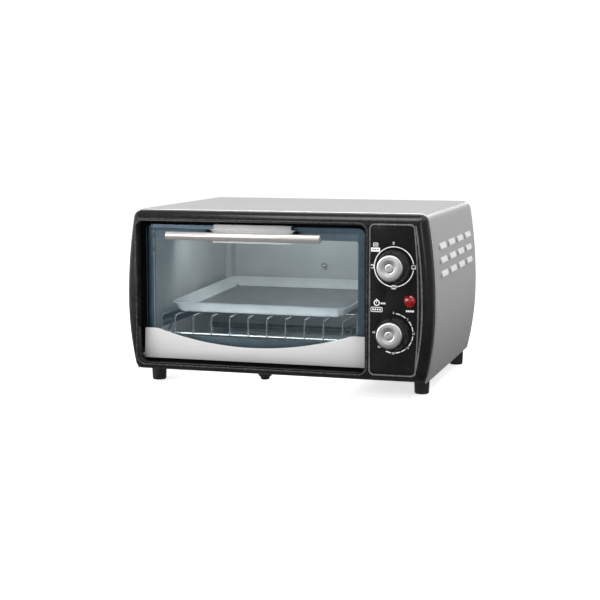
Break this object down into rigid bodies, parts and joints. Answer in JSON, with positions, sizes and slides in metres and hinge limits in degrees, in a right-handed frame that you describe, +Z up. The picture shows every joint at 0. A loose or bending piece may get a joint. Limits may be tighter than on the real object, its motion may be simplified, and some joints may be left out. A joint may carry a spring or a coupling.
{
  "type": "toaster oven",
  "caption": "Countertop toaster oven with bowed steel case, black front frame, drop-down glass door with bar handle, side dials, sliding wire rack, baking tray and hinged crumb tray.",
  "frame": {"origin": "on the ground at the middle of the bounding box", "axes": "+X to the right seen from the front, +Y to the back, +Z up"},
  "size_m": [0.363, 0.3156, 0.2055],
  "materials": {
    "case_silver": "satin silver paint with a fine metallic grain",
    "zinc_sheet": "bare zinc-coated sheet, faint spangle",
    "bezel_black": "semi-gloss black moulding",
    "panel_black": "satin black panel with white printed scales",
    "frame_steel": "satin steel, pressed",
    "cavity_sheet": "aluminised steel, soft blue-grey sheen",
    "phenolic": "dark brown phenolic moulding",
    "bare_steel": "plain steel",
    "lamp_red": "clear red polycarbonate",
    "ceramic_white": "unglazed steatite",
    "knob_black": "matt black moulding",
    "door_glass": "tempered plate with a faint blue-grey tint",
    "trim_silver": "pale silver satin",
    "bright_chrome": "polished",
    "tray_aluminium": "pressed sheet, satin",
    "element_sheath": "heat-darkened metal sheath",
    "foot_rubber": "moulded black rubber"
  },
  "bodies": {
    "root": {"outer_case": "case_silver", "rear_cover": "zinc_sheet", "base_plate": "zinc_sheet", "front_bezel": "bezel_black", "control_panel": "panel_black", "front_frame": "frame_steel", "cavity_left_wall": "cavity_sheet", "cavity_right_wall": "cavity_sheet", "cavity_ceiling": "cavity_sheet", "cavity_back_wall": "cavity_sheet", "rack_rail_left": "frame_steel", "rack_rail_right": "frame_steel", "function_switch": "phenolic", "timer_unit": "bare_steel", "timer_bell": "bare_steel", "lamp_lens": "lamp_red", "lamp_holder": "ceramic_white", "thermal_cutoff": "phenolic", "thermal_cutoff_screw": "bare_steel", "cord_gland": "knob_black", "hinge_bracket_left": "frame_steel", "hinge_bracket_right": "frame_steel", "heater_upper_front": "element_sheath", "heater_upper_rear": "element_sheath", "heater_lower_front": "element_sheath", "heater_lower_rear": "element_sheath", "ferrule_upper_front_left": "ceramic_white", "ferrule_upper_front_right": "ceramic_white", "ferrule_upper_rear_left": "ceramic_white", "ferrule_upper_rear_right": "ceramic_white", "ferrule_lower_front_left": "ceramic_white", "ferrule_lower_front_right": "ceramic_white", "ferrule_lower_rear_left": "ceramic_white", "ferrule_lower_rear_right": "ceramic_white", "foot_front_left": "foot_rubber", "foot_front_right": "foot_rubber", "foot_rear_left": "foot_rubber", "foot_rear_right": "foot_rubber"},
    "door": {"door_glass": "door_glass", "door_lower_trim": "trim_silver", "door_hinge_rail": "bare_steel", "hinge_pin_left": "bare_steel", "hinge_pin_right": "bare_steel", "handle_bracket": "trim_silver", "handle_standoff_left": "knob_black", "handle_standoff_right": "knob_black", "handle_tube": "bright_chrome", "rack_hook_left": "bare_steel", "rack_hook_right": "bare_steel"},
    "function_dial": {"function_knob": "knob_black", "function_knob_cap": "bright_chrome", "function_shaft": "bare_steel"},
    "timer_dial": {"timer_knob": "knob_black", "timer_knob_cap": "bright_chrome", "timer_shaft": "bare_steel"},
    "rack": {"wire_rack": "bright_chrome"},
    "tray": {"baking_tray": "tray_aluminium"},
    "crumb_door": {"crumb_tray": "cavity_sheet", "crumb_tray_knob": "knob_black"}
  },
  "joints": [
    {"name": "door_hinge", "type": "hinge", "parent": "root", "child": "door", "pos_m": [-0.03, -0.11718, 0.035], "axis": [1, 0, 0], "range_deg": [0, 90], "stiffness_Nm_per_rad": 0.15, "springref_deg": -28.65},
    {"name": "rack_slide", "type": "slide", "parent": "root", "child": "rack", "axis": [0, -1, 0], "range_m": [0, 0.0551]},
    {"name": "tray_lift", "type": "slide", "parent": "rack", "child": "tray", "axis": [0, 0, 1], "range_m": [0, 0.04]},
    {"name": "function_knob_turn", "type": "hinge", "parent": "root", "child": "function_dial", "pos_m": [0.1365, -0.13378, 0.148], "axis": [0, 1, 0], "range_deg": [0, 270]},
    {"name": "timer_knob_turn", "type": "hinge", "parent": "root", "child": "timer_dial", "pos_m": [0.1365, -0.13378, 0.0752], "axis": [0, 1, 0], "range_deg": [0, 270]},
    {"name": "crumb_tray_swing", "type": "hinge", "parent": "root", "child": "crumb_door", "pos_m": [-0.0305, 0.11463, 0.0222], "axis": [1, 0, 0], "range_deg": [0, 60]}
  ],
  "couplings": [
    {"joint": "rack_slide", "follows": "door_hinge", "m_per_rad": 0.035}
  ]
}
